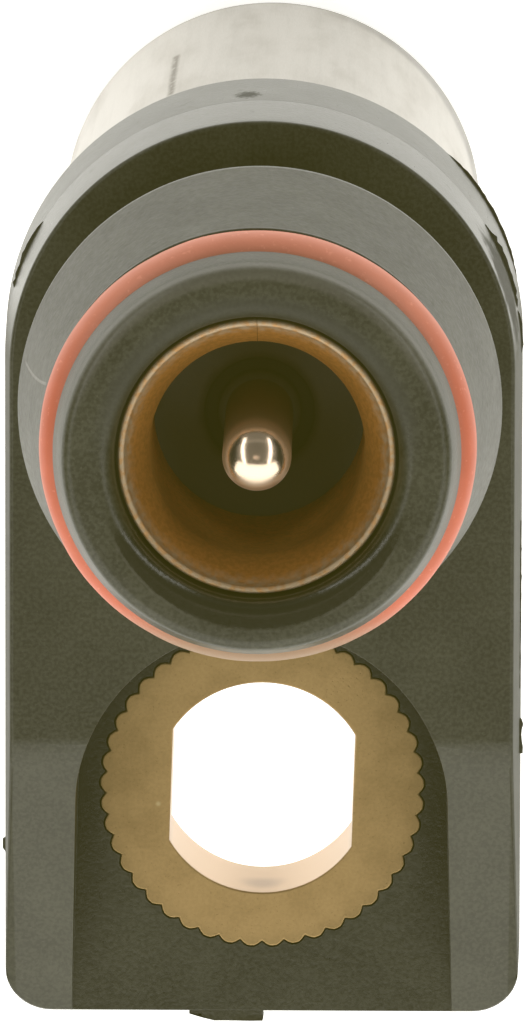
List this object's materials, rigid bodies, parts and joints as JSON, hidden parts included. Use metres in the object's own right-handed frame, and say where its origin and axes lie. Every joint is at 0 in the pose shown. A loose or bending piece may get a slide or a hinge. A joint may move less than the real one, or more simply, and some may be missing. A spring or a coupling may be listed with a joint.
{
  "type": "crankshaft position sensor",
  "caption": "Inductive crankshaft position sensor with a steel barrel, a black moulded body with a bolt tail and brass bush, and a coaxial connector nose with a red seal.",
  "frame": {"origin": "on the barrel's axis in the flange's seating face", "axes": "+Z along the barrel's axis towards the connector, -Y towards the bolt tail, +X to the right when the connector faces the viewer and the tail hangs down"},
  "size_m": [0.019, 0.0342, 0.0581],
  "materials": {
    "black_plastic": "satin moulded, glass filled",
    "barrel_steel": "satin",
    "bush_brass": "dull machined",
    "seal_rubber": "satin silicone",
    "shield_bronze": "drawn, slightly tarnished",
    "pin_tin": "bright plated",
    "insulator_plastic": "satin",
    "pole_iron": "ground soft iron",
    "washer_fibre": "fibre",
    "bobbin_plastic": "natural nylon",
    "copper_wire": "enamelled copper",
    "tape_film": "polyester film",
    "magnet_alloy": "ground alloy",
    "post_brass": "tinned brass",
    "potting_resin": "cast resin"
  },
  "bodies": {
    "root": {"housing": "black_plastic", "barrel_cup": "barrel_steel", "flange_bush": "bush_brass", "connector_seal": "seal_rubber", "shield_sleeve": "shield_bronze", "centre_pin": "pin_tin", "pin_insulator": "insulator_plastic", "pole_core": "pole_iron", "tip_washer": "washer_fibre", "coil_bobbin": "bobbin_plastic", "coil_winding": "copper_wire", "winding_tape": "tape_film", "magnet": "magnet_alloy", "flux_plate": "pole_iron", "magnet_holder": "bobbin_plastic", "signal_post": "post_brass", "ground_post": "post_brass", "start_lead": "copper_wire", "finish_lead": "copper_wire", "signal_strip": "post_brass", "ground_strip": "post_brass", "potting_fill": "potting_resin"}
  },
  "joints": []
}
